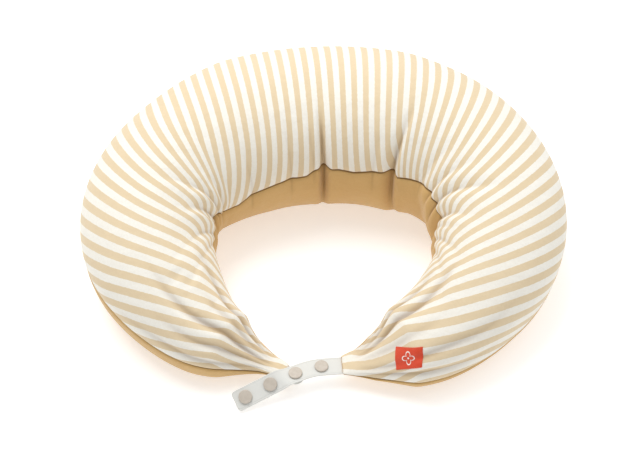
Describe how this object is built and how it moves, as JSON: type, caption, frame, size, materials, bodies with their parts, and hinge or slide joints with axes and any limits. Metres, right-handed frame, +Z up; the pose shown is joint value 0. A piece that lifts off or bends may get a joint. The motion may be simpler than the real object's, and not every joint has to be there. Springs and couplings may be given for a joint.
{
  "type": "nursing pillow",
  "caption": "Ring-shaped nursing pillow: a stuffed crescent tube with a removable two-panel cover, a zip at its back and a strap with snaps that holds its two tapered tails together.",
  "frame": {"origin": "on the surface the pillow rests on, under the middle of its bounding box", "axes": "+Z up, +Y from the strapped tails towards the back of the ring, +X along the tails from the left one, which has the tab, to the right one, which has the strap"},
  "size_m": [0.5971, 0.4851, 0.1969],
  "materials": {
    "striped_jersey": "cotton jersey with beige and cream stripes",
    "plain_jersey": "plain tan cotton jersey",
    "casing_cloth": "plain white woven cotton",
    "fibre_fill": "loose white polyester fibre",
    "woven_label": "woven satin label",
    "zip_tape": "woven zip tape, tan",
    "zip_coil": "moulded nylon coil, tan",
    "zip_metal": "enamelled zip metal, tan",
    "strap_webbing": "off-white woven tape",
    "snap_cap": "satin moulded acetal, grey-beige",
    "snap_socket": "satin moulded acetal, grey-beige"
  },
  "bodies": {
    "pillow": {"cover_top": "striped_jersey", "cover_bottom": "plain_jersey", "inner_casing": "casing_cloth", "fibre_fill": "fibre_fill", "woven_label": "woven_label", "zip_tape_upper": "zip_tape", "zip_tape_lower": "zip_tape", "zip_coil_upper": "zip_coil", "zip_coil_lower": "zip_coil", "zip_top_stop": "zip_metal", "zip_bottom_stop": "zip_metal", "strap_root": "strap_webbing", "tab_root": "strap_webbing"},
    "strap": {"strap_tape": "strap_webbing", "snap_cap_1": "snap_cap", "snap_cap_2": "snap_cap", "snap_cap_3": "snap_cap", "snap_cap_4": "snap_cap", "snap_socket_1": "snap_socket", "snap_socket_2": "snap_socket", "snap_socket_3": "snap_socket", "snap_socket_4": "snap_socket"},
    "tab": {"tab_tape": "strap_webbing", "tab_stud": "snap_socket", "tab_stud_cap": "snap_cap"},
    "zip_slider": {"zip_slider": "zip_metal"},
    "zip_pull": {"zip_pull": "zip_metal"}
  },
  "joints": [
    {"name": "strap_lift", "type": "hinge", "parent": "pillow", "child": "strap", "pos_m": [0.0014, -0.20199, 0.023], "axis": [0, 1, 0], "range_deg": [0, 110]},
    {"name": "tab_flex", "type": "hinge", "parent": "pillow", "child": "tab", "pos_m": [-0.0554, -0.20501, 0.0173], "axis": [0.5072, 0.8618, 0], "range_deg": [0, 20]},
    {"name": "zip_slide", "type": "hinge", "parent": "pillow", "child": "zip_slider", "pos_m": [0.0035, -0.1298, 0.105], "axis": [0, 0, 1], "range_deg": [0, 36.5]},
    {"name": "zip_pull_swing", "type": "hinge", "parent": "zip_slider", "child": "zip_pull", "pos_m": [0.12075, 0.2257, 0.105], "axis": [0, 0, -1], "range_deg": [0, 165]}
  ]
}
